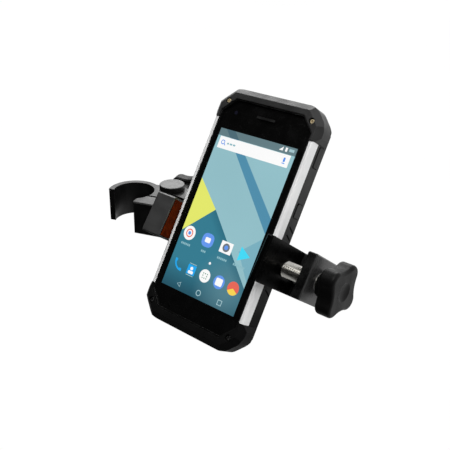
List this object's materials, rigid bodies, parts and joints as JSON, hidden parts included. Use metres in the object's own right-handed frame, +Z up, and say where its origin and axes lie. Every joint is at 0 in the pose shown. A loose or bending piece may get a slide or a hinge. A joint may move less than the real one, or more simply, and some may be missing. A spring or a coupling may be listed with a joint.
{
  "type": "data collector",
  "caption": "Rugged handheld touch-screen data collector gripped in a screw-vise cradle that tilts and swings on a clamp for a round survey pole.",
  "frame": {"origin": "centre of the pole bore at the middle of the pole clamp's height", "axes": "+Z up along the pole, +X from the pole across the handset towards the cradle's knob, +Y away from the user"},
  "size_m": [0.2322, 0.1339, 0.1456],
  "materials": {
    "black_plastic": "moulded, slightly grained",
    "bumper_rubber": "satin rubber",
    "trim_aluminium": "fine-blasted anodised",
    "screen_glass": "polished",
    "display": "lit display panel",
    "lens": "polished lens",
    "dark_component": "satin",
    "board": "solder-masked laminate",
    "battery_wrap": "film wrapped",
    "gasket_foam": "soft foam",
    "steel": "machined",
    "black_steel": "black oxide",
    "black_alloy": "satin black anodised",
    "pad_rubber": "dark orange, soft",
    "knob_plastic": "moulded, matt",
    "key_rubber": "satin",
    "mesh": "perforated"
  },
  "bodies": {
    "pole_clamp": {"pole_clamp_body": "black_alloy", "swing_pivot_bolts": "steel", "guide_pins": "steel"},
    "pole_jaw": {"pole_clamp_jaw": "black_alloy"},
    "pinch_screw": {"pinch_screw": "steel", "pinch_screw_ring": "steel", "pinch_knob": "knob_plastic"},
    "arm": {"pivot_arm": "black_alloy", "tilt_bolt": "black_steel", "tilt_nut": "steel", "tilt_washers": "steel"},
    "cradle": {"cradle_rail": "black_alloy", "fixed_jaw": "black_alloy", "fixed_jaw_pad": "pad_rubber", "fixed_jaw_screws": "black_steel", "end_tab": "black_alloy", "end_tab_screws": "black_steel"},
    "jaw": {"sliding_jaw": "black_alloy", "sliding_jaw_pad": "pad_rubber", "jaw_keeper": "black_steel", "jaw_keeper_screw": "black_steel"},
    "clamp_screw": {"clamp_screw": "steel", "screw_retaining_ring": "steel", "clamp_knob": "knob_plastic"},
    "rocker": {"volume_rocker": "key_rubber"},
    "power": {"power_button": "key_rubber"},
    "port_flap": {"port_cover": "key_rubber"},
    "handset": {"front_frame": "black_plastic", "cover_glass": "screen_glass", "display_module": "display", "earpiece_mesh": "mesh", "earpiece_receiver": "dark_component", "front_camera": "lens", "housing_gasket": "gasket_foam", "rear_housing": "black_plastic", "left_trim": "trim_aluminium", "right_trim": "trim_aluminium", "top_bumper": "bumper_rubber", "bottom_bumper": "bumper_rubber", "corner_screws": "steel", "battery": "battery_wrap", "battery_door": "black_plastic", "battery_door_screws": "black_steel", "main_board": "board", "loudspeaker": "dark_component", "charging_connector": "steel", "port_cover_pin": "steel", "key_switch_strip": "dark_component", "rear_camera_window": "lens", "rear_camera": "dark_component", "flash_lens": "lens"}
  },
  "joints": [
    {"name": "swing", "type": "hinge", "parent": "pole_clamp", "child": "arm", "pos_m": [0.02658, 0.01585, 0], "axis": [0, 0, 1], "range_deg": [-15, 40]},
    {"name": "tilt", "type": "hinge", "parent": "arm", "child": "cradle", "pos_m": [0.125, -0.0044, 0], "axis": [1, 0, 0], "range_deg": [-40, 50]},
    {"name": "jaw_slide", "type": "slide", "parent": "cradle", "child": "jaw", "axis": [1, 0, 0], "range_m": [0, 0.014]},
    {"name": "clamp_screw_turn", "type": "hinge", "parent": "jaw", "child": "clamp_screw", "pos_m": [0.172, -0.03012, 0.01903], "axis": [1, 0, 0], "range_deg": [0, 3360.1]},
    {"name": "pole_jaw_slide", "type": "slide", "parent": "pole_clamp", "child": "pole_jaw", "axis": [0.342, -0.9397, 0], "range_m": [0, 0.008]},
    {"name": "pinch_screw_turn", "type": "hinge", "parent": "pole_clamp", "child": "pinch_screw", "pos_m": [0.02857, 0.0104, 0], "axis": [-0.342, 0.9397, 0], "range_deg": [0, 2304.1]},
    {"name": "handset_lift", "type": "slide", "parent": "cradle", "child": "handset", "axis": [0, -0.8434, 0.5373], "range_m": [0, 0.06]},
    {"name": "volume_rock", "type": "hinge", "parent": "handset", "child": "rocker", "pos_m": [0.1624, 0.00566, 0.08042], "axis": [0, -0.8434, 0.5373], "range_deg": [-1.5, 1.5]},
    {"name": "power_press", "type": "slide", "parent": "handset", "child": "power", "axis": [-1, 0, 0], "range_m": [0, 0.0003]},
    {"name": "port_flap_open", "type": "hinge", "parent": "handset", "child": "port_flap", "pos_m": [0.1168, -0.06517, -0.03114], "axis": [0, 0.8434, -0.5373], "range_deg": [0, 100]}
  ],
  "couplings": [
    {"joint": "clamp_screw_turn", "follows": "jaw_slide", "rad_per_m": 4188.8},
    {"joint": "pinch_screw_turn", "follows": "pole_jaw_slide", "rad_per_m": 5026.5}
  ]
}
